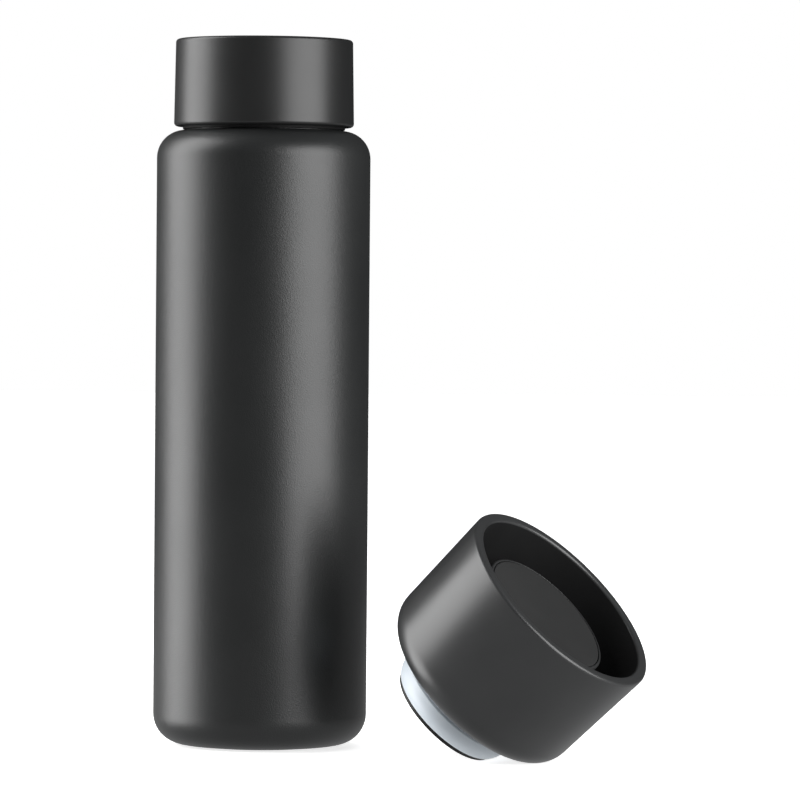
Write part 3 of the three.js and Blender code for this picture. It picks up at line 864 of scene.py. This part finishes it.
def valve_screw():
    screw = Span("valve_screw", LID)
    shank = 1.2
    head = 0.8
    socket, socket_depth = 1.05, 0.6
    lobes, lobe_depth = 6, 0.16
    outline = rounded([
        (0, screw.low + socket_depth),
        (socket, screw.low + socket_depth),
        (socket, screw.low, 0.1),
        (screw.outer, screw.low, 0.4),
        (screw.outer, screw.low + head),
        (shank, screw.low + head),
        (shank, screw.high, 0.4),
        (0, screw.high),
    ])

    def relief(angle, r, z):
        if r > socket + 0.2 or z > screw.low + socket_depth + 0.1:
            return r
        return r * (1 + lobe_depth * math.cos(lobes * angle))

    mesh = turned_mesh(outline, SMALL_SIDES, relief)
    add_piece("six_lobe_screw", [mesh], LID_STEEL, "button", "valve_screw", LID)


def return_spring():
    """Open coil spring with its two end turns closed and level."""
    coil = Span("return_spring", LID)
    wire = 0.6
    radius = coil.outer - wire
    low, high = coil.low + wire, coil.high - wire
    turns, closed = 6.5, 0.6  # closed: the level part at each end, in turns
    per_turn, around = 40, 12
    steps = int(turns * per_turn)
    up = Vector((0, 0, 1))
    places, faces = [], []
    for step in range(steps + 1):
        turn = turns * step / steps
        climb = min(1.0, max(0.0, (turn - closed) / (turns - 2 * closed)))
        angle = turn * math.tau
        out = Vector((math.cos(angle), math.sin(angle), 0))
        centre = out * radius + up * (low + (high - low) * climb)
        for k in range(around):
            a = math.tau * k / around
            places.append(tuple((centre + (out * math.cos(a) + up * math.sin(a)) * wire) * MM))
    for step in range(steps):
        for k in range(around):
            a, b = step * around + k, step * around + (k + 1) % around
            faces.append((a, a + around, b + around, b))
    faces.append(tuple(range(around)))
    faces.append(tuple(reversed(range(steps * around, (steps + 1) * around))))
    piece = add_piece("coil_spring", [(places, faces)], LID_STEEL, "drinking_lid", "return_spring", LID)
    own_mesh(piece)


def finish_cad_nodes():
    """The inner pieces that keep their CAD shape get a material of their own."""
    for node, material in (
        ("vacuum_port_plug", STEEL),
        ("getter_capsule", STEEL),
        ("latch_sleeve", INNER_PLASTIC_AND_BOWL_SHADE),
        ("latch_rotor", BUTTON_PLASTIC),
    ):
        mesh = frame["nodes"][node].data
        mesh.materials.clear()
        mesh.materials.append(material)


for make in (
    outer_shell, outer_base, base_pad, inner_liner, liner_bottom, radiation_shield, neck_collar,
    cap_shell, cap_core, cap_foam, cap_gasket,
    lid_shell, lid_insert, plug_body, main_seal,
    button_cap, button_pad, stem, valve_plate, valve_seal, valve_screw, return_spring,
):
    make()
finish_cad_nodes()

# Studio ---------------------------------------------------------------------------------------------

FLOOR_SIZE = 12.0  # metres
FLOOR_DROP = 0.05 * MM  # keeps the floor off the faces that rest on it

FLASK_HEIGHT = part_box("cap_shell")[1].z

# The room's light by direction: sine of the rise above the horizon, and brightness
ROOM = ((-1.0, 0.12), (-0.5, 0.2), (-0.2, 0.08), (0.0, 0.022), (0.3, 0.035), (1.0, 0.22))


def floor():
    """White floor, clear from below, so that the undersides can be seen."""
    mesh = bpy.data.meshes.new("studio_floor")
    half = FLOOR_SIZE / 2
    corners = [(-half, -half, 0), (half, -half, 0), (half, half, 0), (-half, half, 0)]
    mesh.from_pydata(corners, [], [(0, 1, 2, 3)])
    nodes = Nodes("studio_floor")
    dark, light = (0.87, 0.87, 0.87), (0.89, 0.89, 0.89)
    nodes.wire("Base Color", nodes.colours(nodes.noise(3), (0.3, dark), (0.7, light)))
    nodes.set(Roughness=1.0, Specular_IOR_Level=0.0)
    nodes.set(Emission_Color=(1, 1, 1, 1), Emission_Strength=0.75)
    clear = nodes.add("ShaderNodeBsdfTransparent")
    side = nodes.add("ShaderNodeMixShader")
    nodes.link(nodes.add("ShaderNodeNewGeometry").outputs["Backfacing"], side.inputs["Fac"])
    nodes.link(nodes.shader.outputs["BSDF"], side.inputs[1])
    nodes.link(clear.outputs["BSDF"], side.inputs[2])
    nodes.link(side.outputs["Shader"], nodes.tree.nodes["Material Output"].inputs["Surface"])
    mesh.materials.append(nodes.material)
    piece = bpy.data.objects.new("studio_floor", mesh)
    bpy.context.scene.collection.objects.link(piece)
    piece.location.z = -FLOOR_DROP
    piece.visible_diffuse = False
    piece.visible_glossy = False
    piece.visible_shadow = False
    return piece


def floor_sun(receiver, strength):
    """Even light from overhead that reaches the floor alone and keeps it white to the horizon."""
    data = bpy.data.lights.new("floor_sun", "SUN")
    data.energy = strength
    data.angle = math.radians(70)
    light = bpy.data.objects.new("floor_sun", data)
    bpy.context.scene.collection.objects.link(light)
    receivers = bpy.data.collections.new("floor_sun_receivers")
    receivers.objects.link(receiver)
    light.light_linking.receiver_collection = receivers


def panel(name, target, bearing, rise, distance, width, height, radiance):
    """A rectangular soft light. bearing is 0 in front of the object and grows to the right."""
    data = bpy.data.lights.new(name, "AREA")
    data.shape = "RECTANGLE"
    data.size, data.size_y = width, height
    data.energy = radiance * math.pi * width * height
    light = bpy.data.objects.new(name, data)
    bpy.context.scene.collection.objects.link(light)
    a, e = math.radians(bearing), math.radians(rise)
    back = Vector((math.sin(a) * math.cos(e), -math.cos(a) * math.cos(e), math.sin(e)))
    light.location = target + back * distance
    light.rotation_mode = "QUATERNION"
    light.rotation_quaternion = (-back).to_track_quat("-Z", "Y")


def floor_glow(size, radiance):
    """Light that the white floor near the objects throws back up at them."""
    data = bpy.data.lights.new("floor_glow", "AREA")
    data.shape = "DISK"
    data.size = size
    data.energy = radiance * math.pi * math.pi * (size / 2) ** 2
    light = bpy.data.objects.new("floor_glow", data)
    bpy.context.scene.collection.objects.link(light)
    light.location.z = -2 * FLOOR_DROP
    light.rotation_euler.x = math.pi  # facing up
    light.visible_camera = False


def world():
    """White to the camera, and a dim room for light and reflections."""
    scene_world = bpy.data.worlds.new("studio")
    scene_world.use_nodes = True
    tree = scene_world.node_tree
    tree.nodes.clear()
    output = tree.nodes.new("ShaderNodeOutputWorld")
    mix = tree.nodes.new("ShaderNodeMixShader")
    seen = tree.nodes.new("ShaderNodeLightPath")
    room = tree.nodes.new("ShaderNodeBackground")
    place = tree.nodes.new("ShaderNodeTexCoord")
    split = tree.nodes.new("ShaderNodeSeparateXYZ")
    height = tree.nodes.new("ShaderNodeMapRange")
    height.inputs["From Min"].default_value = -1
    shade = tree.nodes.new("ShaderNodeValToRGB")
    while len(shade.color_ramp.elements) < len(ROOM):
        shade.color_ramp.elements.new(0.5)
    for element, (rise, light) in zip(shade.color_ramp.elements, ROOM):
        element.position = (rise + 1) / 2
        element.color = (light * 0.95, light * 0.98, light, 1)
    tree.links.new(place.outputs["Generated"], split.inputs["Vector"])
    tree.links.new(split.outputs["Z"], height.inputs["Value"])
    tree.links.new(height.outputs["Result"], shade.inputs["Fac"])
    tree.links.new(shade.outputs["Color"], room.inputs["Color"])
    white = tree.nodes.new("ShaderNodeBackground")
    white.inputs["Color"].default_value = (1, 1, 1, 1)
    white.inputs["Strength"].default_value = 1.0
    tree.links.new(seen.outputs["Is Camera Ray"], mix.inputs["Fac"])
    tree.links.new(room.outputs["Background"], mix.inputs[1])
    tree.links.new(white.outputs["Background"], mix.inputs[2])
    tree.links.new(mix.outputs["Shader"], output.inputs["Surface"])
    bpy.context.scene.world = scene_world


def camera():
    """Long lens a little to the right, looking along +Y and slightly down."""
    data = bpy.data.cameras.new("camera")
    data.lens = 227.6
    data.sensor_width = 36
    data.clip_start, data.clip_end = 0.1, 50
    cam = bpy.data.objects.new("camera", data)
    bpy.context.scene.collection.objects.link(cam)
    aside, back, above = 0.1958, 7.174, 0.637  # in flask heights
    cam.location = (aside * FLASK_HEIGHT, -back * FLASK_HEIGHT, above * FLASK_HEIGHT)
    tilt, roll = math.radians(-1.164), math.radians(0.466)
    turn = Matrix.Rotation(math.pi / 2 + tilt, 3, "X") @ Matrix.Rotation(roll, 3, "Z")
    cam.rotation_mode = "XYZ"
    cam.rotation_euler = turn.to_euler()
    bpy.context.scene.camera = cam


stage_floor = floor()
floor_sun(stage_floor, strength=1.2)
world()
camera()
middle = Vector((0, 0, FLASK_HEIGHT / 2))
floor_glow(size=1.2, radiance=0.36)
panel("key_left", middle, bearing=-95, rise=17, distance=1.1, width=0.9, height=1.8, radiance=6.2)
panel("fill_right", middle, bearing=56, rise=12, distance=1.3, width=1.3, height=1.2, radiance=6.25)
bpy.context.scene.view_settings.view_transform = "Standard"
